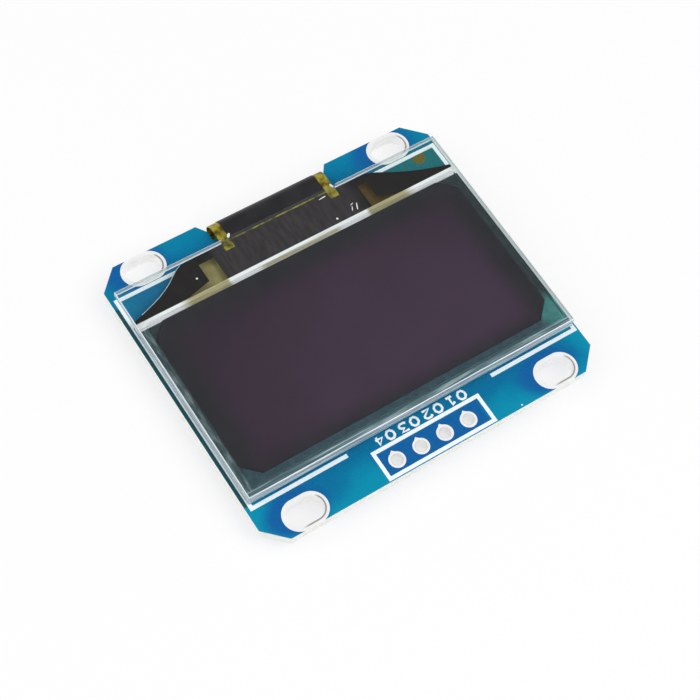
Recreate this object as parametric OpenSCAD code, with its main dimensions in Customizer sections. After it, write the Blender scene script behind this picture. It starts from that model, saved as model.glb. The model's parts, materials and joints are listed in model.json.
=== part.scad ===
// Display module: a glass panel taped to a printed circuit board, face up, with a flexible
// connector that folds through a notch in the board's edge and is soldered to its rear face.
// X runs along the header edge, Y from that edge towards the fold, Z out of the screen.
// The origin is under the board's middle, on the plane where the tallest rear parts rest.

/* [Board] */
// Board left bare beside the panel, on each side
board_margin = 0.45; // [0.35:0.05:2.5]
// Size of the board from the header edge to the fold edge
board_d = 30.5; // [30:0.1:36]
// Thickness of the laminate
board_t = 1.2; // [0.8:0.1:2]
// Leg of the four corner chamfers
corner_cut = 2; // [0.5:0.1:2.3]
// Depth of the notch that the connector folds through
notch_d = 2; // [1.9:0.05:2.4]
// Length of the slope at the notch's mouth, along the edge
mouth_cut_x = 0.7; // [0.2:0.05:1]
// Length of the slope at the notch's mouth, into the board
mouth_cut_y = 1; // [0.2:0.05:1.4]

/* [Mounting slots] */
// Length of a slot, end to end
slot_l = 3.56; // [2.8:0.02:4]
// Width of a slot
slot_w = 2.3; // [1.6:0.05:2.6]
// From a slot's centre to the side edge
slot_inset_x = 4.35; // [4.1:0.05:5]
// From a slot's centre to the header edge or the fold edge
slot_inset_y = 1.5; // [1.4:0.05:2]
// Width of the tinned rim round a slot
slot_rim = 0.4; // [0.2:0.05:0.5]

/* [Header holes] */
// Number of header holes
pin_count = 4; // [2:1:6]
// Distance between neighbouring header holes
pin_pitch = 2.54; // [2:0.01:2.6]
// Diameter of a plated header hole
pin_hole_d = 1.06; // [0.8:0.02:1.2]
// Width of the tinned ring round a header hole
pin_rim = 0.26; // [0.15:0.01:0.35]
// How far the pad's point sticks out past its ring
pin_point = 0.2; // [0.05:0.01:0.3]
// From the row of holes to the header edge
pin_inset = 1.5; // [1.3:0.05:1.8]
// Offset of the row's middle from the board's middle
pin_row_x = -0.1; // [-1:0.1:1]

/* [Plating and ink] */
// Thickness of the plating inside a hole
barrel_t = 0.05; // [0.03:0.01:0.1]
// Thickness of the tinned pads and rims
pad_t = 0.04; // [0.03:0.01:0.08]
// Thickness of the white ink
ink_t = 0.03; // [0.02:0.01:0.05]
// Width of the ink line round the panel
panel_line = 0.38; // [0.2:0.02:0.5]
// Clearance between the ink and the rims of the slots
ink_clearance = 0.05; // [0.02:0.01:0.15]
// Gap between the panel and its ink line on the header side
panel_line_gap = 0.17; // [0.05:0.01:0.3]
// Offset of the panel's ink line from the middle
panel_line_x = 0.1; // [-0.1:0.05:0.15]
// Width of the ink line round the header
header_line = 0.36; // [0.2:0.02:0.4]
// Clearance of the header's ink frame beside the first hole
header_frame_start = 1.7; // [1.3:0.05:2]
// Clearance of the header's ink frame beside the last hole
header_frame_end = 2.2; // [1.3:0.05:2.6]
// Height of the header's ink frame, over its lines
header_frame_d = 3.1; // [2.6:0.05:3.2]
// From the header edge to the header's ink frame
header_frame_inset = 0.1; // [0.02:0.02:0.2]
// Length of the panel line along the header side, at the left corner
corner_line_left = 9.9; // [4:0.1:11]
// Length of the panel line along the header side, at the right corner
corner_line_right = 9.6; // [4:0.1:10]

/* [Glass panel] */
// Width of the panel
panel_w = 34.5; // [32:0.1:38]
// Depth of the front glass, ledge included
panel_d = 23; // [21:0.1:24]
// From the header edge of the board to the panel
panel_setback = 4.4; // [3.6:0.1:5]
// Thickness of the front glass
front_t = 0.7; // [0.4:0.05:1.1]
// Thickness of the rear glass
rear_t = 0.66; // [0.5:0.02:1]
// Size of the ground edges of both glasses
ground_edge = 0.08; // [0.03:0.01:0.12]
// Depth of the bare ledge past the rear glass
ledge_d = 3.5; // [3.2:0.1:4]
// Thickness of the seal between the glasses
seal_t = 0.04; // [0.04:0.01:0.08]
// Width of the seal along the two sides
seal_side = 0.85; // [0.5:0.05:1.5]
// Width of the seal along the header side
seal_near = 1.65; // [0.6:0.05:2]
// Width of the seal along the ledge
seal_far = 0.75; // [0.4:0.05:1.2]
// Size of the seal's filled corners
seal_corner = 1.6; // [0.5:0.1:3]
// Depth of the pocket etched in the rear glass
pocket_depth = 0.3; // [0.1:0.02:0.4]
// Width of the rear glass left between the seal's opening and the pocket
pocket_margin = 0.4; // [0.2:0.05:1]
// Thickness of the light-emitting layer
pixel_t = 0.03; // [0.02:0.01:0.03]
// Clearance between the light-emitting layer and the seal
pixel_clearance = 0.05; // [0.02:0.01:0.2]
// Thickness of the drying sheet in the pocket
dryer_t = 0.15; // [0.05:0.01:0.2]
// Clearance round the drying sheet
dryer_clearance = 1.5; // [0.5:0.1:3]
// Thickness of the polariser
polariser_t = 0.2; // [0.1:0.02:0.3]
// Bare glass round the polariser
polariser_margin = 0.7; // [0.3:0.05:1.2]
// Corner radius of the polariser
polariser_r = 0.4; // [0.1:0.05:1]
// Thickness of the adhesive tape under the rear glass
tape_t = 0.15; // [0.1:0.01:0.4]
// From the rear glass's edges to the tape
tape_inset = 1.9; // [1:0.1:4]

/* [Lead film] */
// Thickness of the metal leads on the ledge
lead_t = 0.03; // [0.02:0.01:0.05]
// Bare glass round the lead film
lead_margin = 0.12; // [0.05:0.01:0.3]
// Clearance between the connector's side and the leads beside it
bond_clearance = 0.1; // [0.05:0.01:0.3]
// Height of the fan of leads at the panel's sides
fan_foot = 0.3; // [0.1:0.05:0.6]
// Where the left fan reaches the ledge's edge, from the middle
fan_top_left = 10.2; // [9.4:0.1:12]
// Where the right fan reaches the ledge's edge, from the middle
fan_top_right = 9.4; // [9.4:0.1:12]
// How far out the left fan's edge swells under the ledge's edge
fan_swell_left = 1.8; // [1:0.1:2.5]
// How far out the right fan's edge swells under the ledge's edge
fan_swell_right = 1.5; // [1:0.1:2.5]
// How far out the left fan's edge turns towards the panel's side
fan_turn_left = 1.3; // [0.6:0.1:3]
// How far out the right fan's edge turns towards the panel's side
fan_turn_right = 2.6; // [0.6:0.1:3]
// Height of that turn, as a share of the fans' rise
fan_turn_height = 0.43; // [0.3:0.01:0.6]
// Height of the swell, as a share of the fans' rise
fan_swell_height = 0.9; // [0.8:0.01:1]
// From the middle to the far side of the gaps in the leads
gap_end = 9.1; // [8.5:0.1:9.2]
// Width of the left gap in the leads
gap_w_left = 1.6; // [0.6:0.1:1.8]
// Width of the right gap in the leads
gap_w_right = 1; // [0.6:0.1:1.8]
// From the ledge's edge to the gaps in the leads
gap_top = 0.95; // [0.8:0.05:1.2]
// Spread of the gaps at the rear glass
gap_spread = 2.8; // [0.5:0.1:4]
// Height of the spread part of the gaps
gap_spread_d = 0.65; // [0.3:0.05:0.9]

/* [Driver chip and ledge tape] */
// Length of the driver chip
chip_l = 12.6; // [8:0.1:14]
// Width of the driver chip
chip_w = 0.9; // [0.6:0.05:1.4]
// Height of the driver chip
chip_t = 0.3; // [0.2:0.02:0.4]
// From the rear glass to the driver chip
chip_setback = 0.7; // [0.3:0.05:1]
// Width of the amber tape at the ledge's edge
ledge_tape_w = 19; // [16:0.5:19]
// How far the amber tape reaches past the gaps in the leads, at the rear glass
ledge_tape_reach = 0.8; // [0.2:0.1:2]
// Depth of the amber tape under the ledge
ledge_tape_d = 4; // [3:0.1:4.2]
// Thickness of the amber tape
ledge_tape_t = 0.08; // [0.04:0.01:0.1]

/* [Flexible connector] */
// Width of the connector where it folds
flex_w = 12.3; // [10.8:0.1:13]
// Thickness of the amber film
film_t = 0.08; // [0.06:0.01:0.12]
// Thickness of the black cover layer
cover_t = 0.04; // [0.02:0.01:0.06]
// Bare amber film along each side of the fold
cover_margin = 0.95; // [0.3:0.05:1.5]
// From the board's fold edge in to the fold
fold_inset = 0.45; // [0.1:0.05:0.6]
// Clearance between the connector and the notch's sides
notch_clearance = 0.2; // [0.1:0.05:0.5]
// Depth of the strip bonded under the ledge
bond_d = 0.8; // [0.5:0.05:0.9]
// Thickness of the bonding film
bond_t = 0.04; // [0.02:0.01:0.06]
// Clearance between the glass's edge and the cover layer
cover_clearance = 0.06; // [0.03:0.01:0.2]
// Width of the soldered tail
tail_w = 20.4; // [20:0.1:21]
// Depth of the soldered tail
tail_d = 3.1; // [2.4:0.1:3.6]
// From the fold edge of the board to the tail
tail_inset = 2.9; // [2.7:0.1:3.4]
// Corner radius of the tail
tail_r = 0.7; // [0.3:0.05:1]
// Number of soldered contacts
contact_count = 30; // [12:1:31]
// Distance between neighbouring contacts
contact_pitch = 0.65; // [0.5:0.01:0.65]
// Width of a contact
contact_w = 0.36; // [0.2:0.02:0.4]
// Length of a contact on the film
contact_l = 1; // [0.6:0.1:1.4]
// Clearance between the contacts and the cover layer
contact_clearance = 0.2; // [0.1:0.05:0.4]
// Bare film round the tail's cover layer
tail_cover_margin = 0.4; // [0.2:0.05:0.6]
// Length of the solder past the film
solder_l = 0.8; // [0.4:0.1:1.2]
// Height of the solder past the film
solder_h = 0.16; // [0.08:0.01:0.17]

/* [Rear parts] */
// Length of a large capacitor
big_cap_l = 2; // [1.6:0.1:2.4]
// Width of a large capacitor
big_cap_w = 1.25; // [0.8:0.05:1.6]
// Height of a large capacitor, the tallest part
big_cap_h = 1.25; // [1.2:0.05:1.8]
// Length of the small capacitors and of the resistors
small_l = 1.6; // [1:0.1:2]
// Width of the small capacitors and of the resistors
small_w = 0.8; // [0.5:0.05:1.25]
// Height of a small capacitor
small_cap_h = 0.8; // [0.4:0.05:1]
// Height of a resistor
resistor_h = 0.5; // [0.3:0.05:0.7]
// Thickness of the dark coat on a resistor
coat_t = 0.03; // [0.02:0.01:0.06]
// Length of a chip part's metal ends
end_l = 0.34; // [0.2:0.02:0.4]
// Thickness of a chip part's metal ends
end_t = 0.03; // [0.02:0.01:0.06]
// How far a pad reaches past the part on it
pad_reach = 0.4; // [0.3:0.05:0.6]
// Height of the solder against a chip part's end
fillet_h = 0.3; // [0.1:0.02:0.4]
// Width of the solder at its foot
fillet_l = 0.28; // [0.1:0.02:0.3]
// Length of the regulator's body
regulator_l = 2.9; // [2.6:0.1:3.1]
// Width of the regulator's body
regulator_w = 1.3; // [1.1:0.1:1.7]
// Height of the regulator over its feet
regulator_h = 1.1; // [0.9:0.05:1.15]
// Distance between the regulator's paired leads
regulator_pitch = 1.9; // [1.6:0.05:2]
// Length of the diode's body
diode_l = 1.7; // [1.4:0.1:2]
// Width of the diode's body
diode_w = 1.25; // [1:0.05:1.5]
// Height of the diode over its feet
diode_h = 0.95; // [0.7:0.05:1.15]
// Width of a lead
lead_w = 0.4; // [0.25:0.05:0.5]
// Thickness of a lead
lead_plate_t = 0.12; // [0.08:0.01:0.2]
// How far a lead reaches past its body
lead_reach = 0.55; // [0.4:0.05:0.7]
// Length of a lead's foot
lead_foot = 0.3; // [0.2:0.05:0.35]
// How far a lead's pad shows beside its foot
pad_side = 0.1; // [0.05:0.01:0.2]
// Gap between a leaded body and the pads
standoff = 0.05; // [0.02:0.01:0.1]
// Draft of a leaded body's sides, in degrees
body_draft = 8; // [3:1:12]

/* [Rear layout] */
// From the board's side to the large capacitors near the header
near_cap_x = 6.2; // [5.5:0.1:7]
// From the header edge to the large capacitors near it
near_cap_y = 4.9; // [4.4:0.1:6]
// From the board's side to the large capacitors near the fold
far_cap_x = 5.2; // [4:0.1:5.4]
// From the fold edge to the large capacitors near it
far_cap_y = 7.8; // [7.6:0.1:9]
// Number of small capacitors in their row
small_cap_count = 6; // [2:1:6]
// Number of resistors in their row
row_resistor_count = 5; // [1:1:5]
// Distance between neighbouring parts in a row
row_pitch = 3.6; // [3:0.1:4]
// From the connector's tail to the row of small capacitors
cap_row_y = 4.05; // [2.4:0.05:4.5]
// Distance between the two rows
row_gap = 3.8; // [2.8:0.1:4]
// Distance between the two resistors near the header
header_resistor_pitch = 4.4; // [3:0.1:6]
// From the header holes to the two resistors
header_resistor_y = 3.55; // [2.5:0.05:4.5]
// From the header holes to the regulator, the diode and the address resistor
leaded_y = 8.35; // [7.8:0.05:8.6]
// Place of the regulator along the board
regulator_x = 5.4; // [4:0.1:7]
// Place of the diode along the board
diode_x = -3.6; // [-5:0.1:-2]
// From the address resistor to the board's side
address_x = 7.3; // [6:0.1:8]
// Distance between the address resistor and its spare pad
address_pitch = 1.8; // [1.8:0.05:2.4]

/* [Hidden] */
$fn = 64;
over = 0.5;      // how far a cutting shape runs past what it cuts

// Heights of the stack, from the resting plane up
board_z = big_cap_h + pad_t;
top_z = board_z + board_t;
rear_z = top_z + tape_t;
seal_z = rear_z + rear_t;
front_z = seal_z + seal_t;
polariser_z = front_z + front_t;

// Places in plan
board_w = panel_w + 2 * board_margin;
near_y = -board_d / 2;
far_y = board_d / 2;
panel_y = near_y + panel_setback;
panel_end = panel_y + panel_d;
rear_d = panel_d - ledge_d;
rear_end = panel_y + rear_d;
slot_x = board_w / 2 - slot_inset_x;
slot_y = board_d / 2 - slot_inset_y;
pin_y = near_y + pin_inset;
pin_x0 = pin_row_x - (pin_count - 1) * pin_pitch / 2;

// Heights and places of the folded connector
film_top = front_z - lead_t - bond_t;
film_low = board_z - pad_t - film_t;
fold_r = (film_top - film_low) / 2;
fold_z = (film_top + film_low) / 2;
fold_y = far_y - fold_inset - cover_t - fold_r;
tail_end = far_y - tail_inset;
tail_y = tail_end - tail_d;

// Places of the rear parts, as [x, y, turn]
function centred(count, pitch) = [for (i = [0 : count - 1]) (i - (count - 1) / 2) * pitch];

big_caps = [for (s = [-1, 1]) each [
    [s * (board_w / 2 - near_cap_x), near_y + near_cap_y, 0],
    [s * (board_w / 2 - far_cap_x), far_y - far_cap_y, 90]
]];
row_y = tail_y - cap_row_y;
small_caps = [for (x = centred(small_cap_count, row_pitch)) [x, row_y, 90]];
row_resistors = [for (x = centred(row_resistor_count, row_pitch)) [x, row_y - row_gap, 90]];
header_resistors = [for (x = centred(2, header_resistor_pitch)) [x, pin_y + header_resistor_y, 0]];
address_resistor = [-board_w / 2 + address_x, pin_y + leaded_y, 0];
spare_pad = address_resistor - [address_pitch, 0, 0];
resistors = concat(row_resistors, header_resistors, [address_resistor]);
regulator = [regulator_x, pin_y + leaded_y, 0];
diode = [diode_x, pin_y + leaded_y, 0];

solder_blue = [0.03, 0.42, 0.64];
tin = [0.86, 0.86, 0.84];
white = [0.96, 0.97, 0.97];
clear = [0.75, 0.88, 0.86, 0.35];
amber = [0.62, 0.48, 0.12];
black = [0.10, 0.10, 0.11];
ceramic = [0.66, 0.53, 0.38];

// Shared shapes

module stadium(l, w) {
    square([l - w, w], center = true);
    for (s = [-1, 1]) translate([s * (l - w) / 2, 0]) circle(d = w);
}

module rounded(w, d, r) {
    square([w - 2 * r, d], center = true);
    square([w, d - 2 * r], center = true);
    for (sx = [-1, 1], sy = [-1, 1])
        translate([sx * (w / 2 - r), sy * (d / 2 - r)]) circle(r = r);
}

module cut_rectangle(w, d, cut) {
    polygon([
        [-w / 2 + cut, -d / 2], [w / 2 - cut, -d / 2], [w / 2, -d / 2 + cut], [w / 2, d / 2 - cut],
        [w / 2 - cut, d / 2], [-w / 2 + cut, d / 2], [-w / 2, d / 2 - cut], [-w / 2, -d / 2 + cut]
    ]);
}

module plate(z, t) {
    translate([0, 0, z]) linear_extrude(t) children();
}

module at_slots() {
    for (sx = [-1, 1], sy = [-1, 1]) translate([sx * slot_x, sy * slot_y]) children();
}

module at_pins() {
    for (i = [0 : pin_count - 1]) translate([pin_x0 + i * pin_pitch, pin_y]) children();
}

module at_places(places) {
    for (p = places) translate([p[0], p[1], board_z - pad_t]) rotate(p[2]) children();
}

// Board

module board_outline() {
    half = flex_w / 2 + notch_clearance;
    mouth = half + mouth_cut_x;
    difference() {
        cut_rectangle(board_w, board_d, corner_cut);
        polygon([
            [-mouth, far_y + over], [-mouth, far_y], [-half, far_y - mouth_cut_y], [-half, far_y - notch_d],
            [half, far_y - notch_d], [half, far_y - mouth_cut_y], [mouth, far_y], [mouth, far_y + over]
        ]);
    }
}

module printed_circuit_board() {
    color(solder_blue) difference() {
        plate(board_z, board_t) board_outline();
        plate(board_z - over, board_t + 2 * over) {
            at_slots() stadium(slot_l + 2 * barrel_t, slot_w + 2 * barrel_t);
            at_pins() circle(d = pin_hole_d + 2 * barrel_t);
        }
    }
}

// Tinned linings: a barrel through the board and a rim on each face, cut off at the board's edge

module slot_plating() {
    rim_l = slot_l + 2 * slot_rim;
    rim_w = slot_w + 2 * slot_rim;
    color(tin) difference() {
        union() {
            plate(board_z, board_t) at_slots() stadium(slot_l + 2 * barrel_t, slot_w + 2 * barrel_t);
            for (z = [board_z - pad_t, top_z]) plate(z, pad_t) intersection() {
                board_outline();
                at_slots() stadium(rim_l, rim_w);
            }
        }
        plate(board_z - over, board_t + 2 * over) at_slots() stadium(slot_l, slot_w);
    }
}

module pin_pad() {
    ring_r = pin_hole_d / 2 + pin_rim;
    circle(r = ring_r);
    polygon([[-ring_r * 0.8, ring_r * 0.5], [0, ring_r + pin_point], [ring_r * 0.8, ring_r * 0.5]]);
}

module header_plating() {
    color(tin) difference() {
        union() {
            plate(board_z, board_t) at_pins() circle(d = pin_hole_d + 2 * barrel_t);
            for (z = [board_z - pad_t, top_z]) plate(z, pad_t) at_pins() pin_pad();
        }
        plate(board_z - over, board_t + 2 * over) at_pins() circle(d = pin_hole_d);
    }
}

// White ink: a broken frame round the panel and a frame round the header

module frame_lines(x0, x1, y0, y1, line) {
    difference() {
        translate([x0, y0]) square([x1 - x0, y1 - y0]);
        translate([x0 + line, y0 + line]) square([x1 - x0 - 2 * line, y1 - y0 - 2 * line]);
    }
}

module front_ink() {
    line_w = panel_w + panel_line;
    line_x = panel_line_x - line_w / 2;
    line_y = panel_y - panel_line - panel_line_gap;
    header_y = near_y + header_frame_inset;
    gap_l = line_w - corner_line_left - corner_line_right;
    rim = slot_rim + ink_clearance;
    color(white) plate(top_z, ink_t) {
        intersection() {
            cut_rectangle(board_w, board_d, corner_cut);
            difference() {
                frame_lines(line_x, line_x + line_w, line_y, panel_end, panel_line);
                translate([line_x + corner_line_left, near_y]) square([gap_l, board_d / 2]);
                translate([-flex_w / 2 - mouth_cut_x, 0]) square([flex_w + 2 * mouth_cut_x, board_d]);
                at_slots() stadium(slot_l + 2 * rim, slot_w + 2 * rim);
            }
        }
        frame_lines(
            pin_x0 - header_frame_start, pin_x0 + (pin_count - 1) * pin_pitch + header_frame_end,
            header_y, header_y + header_frame_d, header_line
        );
    }
}

// Glass panel

module rear_area() {
    translate([-panel_w / 2, panel_y]) square([panel_w, rear_d]);
}

// A pane of the panel's width, with the edges of both faces ground off
module pane(d, z, t) {
    translate([0, panel_y + d / 2, z + t / 2]) intersection() {
        rotate([90, 0, 0]) linear_extrude(d, center = true) cut_rectangle(panel_w, t, ground_edge);
        rotate([90, 0, 90]) linear_extrude(panel_w, center = true) cut_rectangle(d, t, ground_edge);
    }
}

// The seal's opening, drawn inset by a margin
module seal_opening(inset) {
    w = panel_w - 2 * (seal_side + inset);
    d = rear_d - seal_near - seal_far - 2 * inset;
    translate([0, panel_y + seal_near + inset + d / 2]) cut_rectangle(w, d, seal_corner);
}

module panel_tape() {
    color(black) plate(top_z, tape_t)
        translate([-panel_w / 2 + tape_inset, panel_y + tape_inset])
            square([panel_w - 2 * tape_inset, rear_d - 2 * tape_inset]);
}

module rear_glass() {
    color(clear) difference() {
        pane(rear_d, rear_z, rear_t);
        plate(seal_z - pocket_depth, pocket_depth + over) seal_opening(pocket_margin);
    }
}

module drying_sheet() {
    color(white) plate(seal_z - pocket_depth, dryer_t) seal_opening(pocket_margin + dryer_clearance);
}

module seal() {
    color([0.7, 0.74, 0.72]) plate(seal_z, seal_t) difference() {
        rear_area();
        seal_opening(0);
    }
}

module pixel_layer() {
    color([0.15, 0.11, 0.16]) plate(front_z - pixel_t, pixel_t) seal_opening(pixel_clearance);
}

module front_glass() {
    color(clear) pane(panel_d, front_z, front_t);
}

module polariser() {
    w = panel_w - 2 * polariser_margin;
    d = rear_d - polariser_margin - seal_far;
    color([0.16, 0.13, 0.17]) plate(polariser_z, polariser_t)
        translate([0, panel_y + polariser_margin + d / 2]) rounded(w, d, polariser_r);
}

// Lead film: fans of leads run from the panel's sides to the connector's bond

// A point of a cubic curve with four handles
function cubic(p, t) =
    let (u = 1 - t)
    pow(u, 3) * p[0] + 3 * u * u * t * p[1] + 3 * u * t * t * p[2] + pow(t, 3) * p[3];

// Points of one fan's edge, from the panel's side up to the ledge's edge
function fan_edge(side, top_x, turn, swell, steps = 14) =
    let (x0 = panel_w / 2 - lead_margin, y0 = rear_end + fan_foot)
    let (y1 = panel_end - lead_margin)
    let (turn_y = y0 + (y1 - y0) * fan_turn_height, swell_y = y0 + (y1 - y0) * fan_swell_height)
    let (handles = [[x0, y0], [top_x + turn, turn_y], [top_x + swell, swell_y], [top_x, y1]])
    [for (i = [0 : steps]) let (p = cubic(handles, i / steps)) [side * p[0], p[1]]];

function reversed(list) = [for (i = [len(list) - 1 : -1 : 0]) list[i]];

module lead_outline() {
    side = panel_w / 2 - lead_margin;
    left = fan_edge(-1, fan_top_left, fan_turn_left, fan_swell_left);
    right = fan_edge(1, fan_top_right, fan_turn_right, fan_swell_right);
    polygon(concat([[-side, rear_end]], left, reversed(right), [[side, rear_end]]));
}

// A gap between the leads, open towards the rear glass
module lead_gap(w) {
    y_top = panel_end - gap_top;
    polygon([
        [gap_end - w, rear_end - over], [gap_end - w, y_top], [gap_end, y_top],
        [gap_end, rear_end + gap_spread_d], [gap_end + gap_spread, rear_end],
        [gap_end + gap_spread, rear_end - over]
    ]);
}

// An opening over the bare margin of the connector
module bond_gap() {
    translate([flex_w / 2 - cover_margin, panel_end - lead_margin - bond_d])
        square([cover_margin + bond_clearance, bond_d + over]);
}

module lead_film() {
    color(black) plate(front_z - lead_t, lead_t) difference() {
        lead_outline();
        lead_gap(gap_w_right);
        mirror([1, 0]) lead_gap(gap_w_left);
        for (s = [0, 1]) mirror([s, 0]) bond_gap();
    }
}

module driver_chip() {
    color([0.2, 0.2, 0.22])
        translate([-chip_l / 2, rear_end + chip_setback, front_z - lead_t - chip_t])
            cube([chip_l, chip_w, chip_t]);
}

module ledge_tape() {
    far = ledge_tape_w / 2;
    near = gap_end + gap_spread + ledge_tape_reach;
    color(amber) plate(top_z + ink_t, ledge_tape_t) translate([0, panel_end - lead_margin])
        polygon([[-near, -ledge_tape_d], [near, -ledge_tape_d], [far, 0], [-far, 0]]);
}

// Flexible connector: bonded under the ledge, folded round a half circle, soldered behind

module bonding_film() {
    color(amber) plate(film_top, bond_t)
        translate([-flex_w / 2, panel_end - lead_margin - bond_d]) square([flex_w, bond_d]);
}

// Section of one layer of the fold, as [y, z]: two straight runs and a half ring
module fold_section(r_out, t, y_top, y_low) {
    translate([y_top, fold_z + r_out - t]) square([fold_y - y_top, t]);
    translate([y_low, fold_z - r_out]) square([fold_y - y_low, t]);
    translate([fold_y, fold_z]) intersection() {
        difference() {
            circle(r = r_out);
            circle(r = r_out - t);
        }
        translate([0, -r_out]) square([r_out, 2 * r_out]);
    }
}

module folded(w, r_out, t, y_top, y_low) {
    translate([-w / 2, 0, 0]) rotate([90, 0, 90]) linear_extrude(w) fold_section(r_out, t, y_top, y_low);
}

module tail_outline(w, y0, y1) {
    translate([0, (y0 + y1) / 2]) rounded(w, y1 - y0, tail_r);
}

module flex_film() {
    color(amber) {
        folded(flex_w, fold_r, film_t, panel_end - lead_margin - bond_d, tail_end - tail_d / 2);
        plate(film_low, film_t) tail_outline(tail_w, tail_y, tail_end);
    }
}

module flex_cover() {
    w = flex_w - 2 * cover_margin;
    y0 = tail_y + contact_l + contact_clearance;
    color(black) {
        folded(w, fold_r + cover_t, cover_t, panel_end + cover_clearance, tail_end - tail_d / 2);
        plate(film_low - cover_t, cover_t)
            tail_outline(tail_w - 2 * tail_cover_margin, y0, tail_end - tail_cover_margin);
    }
}

// One contact: a strip on the film, and a rounded bead of solder from the film's end to its pad
module contact() {
    r = (pow(contact_w / 2, 2) + pow(solder_h, 2)) / (2 * solder_h);
    bead_z = board_z - pad_t;
    translate([-contact_w / 2, tail_y, film_low - pad_t]) cube([contact_w, contact_l, pad_t]);
    intersection() {
        translate([0, tail_y, bead_z - solder_h + r]) rotate([90, 0, 0]) cylinder(r = r, h = solder_l);
        translate([-contact_w / 2, tail_y - solder_l, bead_z - solder_h])
            cube([contact_w, solder_l, solder_h]);
    }
}

module flex_solder() {
    color(tin) for (i = [0 : contact_count - 1])
        translate([(i - (contact_count - 1) / 2) * contact_pitch, 0, 0]) contact();
}

// Rear parts hang under the board: each is drawn from its pads down, along X

module end_pads(l, w) {
    for (s = [-1, 1]) translate([s * l / 2 - (s > 0 ? end_l : pad_reach), -w / 2, 0])
        cube([end_l + pad_reach, w, pad_t]);
}

module chip_core(l, w, h) {
    translate([-l / 2 + end_t, -w / 2 + end_t, -h + end_t])
        cube([l - 2 * end_t, w - 2 * end_t, h - 2 * end_t]);
}

module chip_ends(l, w, h) {
    difference() {
        for (s = [0, 1]) mirror([s, 0, 0]) translate([l / 2 - end_l, -w / 2, -h]) cube([end_l, w, h]);
        chip_core(l, w, h);
    }
}

module chip_fillets(l, w) {
    for (s = [0, 1]) mirror([s, 0, 0]) translate([l / 2, w / 2, 0]) rotate([90, 0, 0])
        linear_extrude(w) polygon([[0, 0], [fillet_l, 0], [0, -fillet_h]]);
}

// A bent lead from a body's side down to its foot, drawn along +X from the body
module gull_lead(body_h) {
    t = lead_plate_t;
    mid = -body_h / 2;
    knee = lead_reach - lead_foot;
    rotate([90, 0, 0]) translate([0, 0, -lead_w / 2]) linear_extrude(lead_w) polygon([
        [0, mid], [0, mid - t], [knee, mid - t], [knee + t, -t], [lead_reach, -t], [lead_reach, 0],
        [knee, 0], [knee - t, mid]
    ]);
}

module at_regulator_leads() {
    for (p = [[-regulator_pitch / 2, -90], [regulator_pitch / 2, -90], [0, 90]])
        translate([p[0], sign(p[1]) * regulator_w / 2, 0]) rotate(p[1]) children();
}

module at_diode_leads() {
    for (s = [0, 1]) mirror([s, 0, 0]) translate([diode_l / 2, 0, 0]) children();
}

module lead_pad() {
    translate([lead_reach - lead_foot - pad_side, -lead_w / 2 - pad_side, 0])
        cube([lead_foot + pad_reach, lead_w + 2 * pad_side, pad_t]);
}

module rear_pads() {
    color(tin) {
        at_places(big_caps) end_pads(big_cap_l, big_cap_w);
        at_places(concat(small_caps, resistors)) end_pads(small_l, small_w);
        at_places([spare_pad]) translate([-pad_reach, -small_w / 2, 0])
            cube([2 * pad_reach, small_w, pad_t]);
        at_places([regulator]) at_regulator_leads() lead_pad();
        at_places([diode]) at_diode_leads() lead_pad();
        for (i = [0 : contact_count - 1])
            translate([(i - contact_count / 2 + 0.5) * contact_pitch - contact_w / 2, tail_y - solder_l,
                board_z - pad_t]) cube([contact_w, solder_l + contact_l, pad_t]);
    }
}

module solder_fillets() {
    color(tin) {
        at_places(big_caps) chip_fillets(big_cap_l, big_cap_w);
        at_places(concat(small_caps, resistors)) chip_fillets(small_l, small_w);
    }
}

module large_capacitor_bodies() {
    color(ceramic) at_places(big_caps) chip_core(big_cap_l, big_cap_w, big_cap_h);
}

module large_capacitor_ends() {
    color(tin) at_places(big_caps) chip_ends(big_cap_l, big_cap_w, big_cap_h);
}

module small_capacitor_bodies() {
    color(ceramic) at_places(small_caps) chip_core(small_l, small_w, small_cap_h);
}

module small_capacitor_ends() {
    color(tin) at_places(small_caps) chip_ends(small_l, small_w, small_cap_h);
}

module resistor_bodies() {
    color(white) at_places(resistors) chip_core(small_l, small_w, resistor_h);
}

module resistor_ends() {
    color(tin) at_places(resistors) chip_ends(small_l, small_w, resistor_h);
}

module resistor_coats() {
    color(black) at_places(resistors)
        translate([-small_l / 2 + end_l, -small_w / 2 + end_t, -resistor_h + end_t - coat_t])
            cube([small_l - 2 * end_l, small_w - 2 * end_t, coat_t]);
}

// Side view of a moulded body: drafted both ways from a land where the leads come out
module drafted(l, h) {
    land = -h / 2 - lead_plate_t;
    low = (land + h) * tan(body_draft);
    high = (h / 2 - standoff) * tan(body_draft);
    polygon([
        [-l / 2 + low, -h], [l / 2 - low, -h], [l / 2, land], [l / 2, -h / 2], [l / 2 - high, -standoff],
        [-l / 2 + high, -standoff], [-l / 2, -h / 2], [-l / 2, land]
    ]);
}

module leaded_body(l, w, h) {
    intersection() {
        rotate([90, 0, 0]) linear_extrude(w, center = true) drafted(l, h);
        rotate([90, 0, 90]) linear_extrude(l, center = true) drafted(w, h);
    }
}

module regulator_body() {
    color(black) at_places([regulator]) leaded_body(regulator_l, regulator_w, regulator_h);
}

module regulator_leads() {
    color(tin) at_places([regulator]) at_regulator_leads() gull_lead(regulator_h);
}

module diode_body() {
    color(black) at_places([diode]) leaded_body(diode_l, diode_w, diode_h);
}

module diode_leads() {
    color(tin) at_places([diode]) at_diode_leads() gull_lead(diode_h);
}

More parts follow.
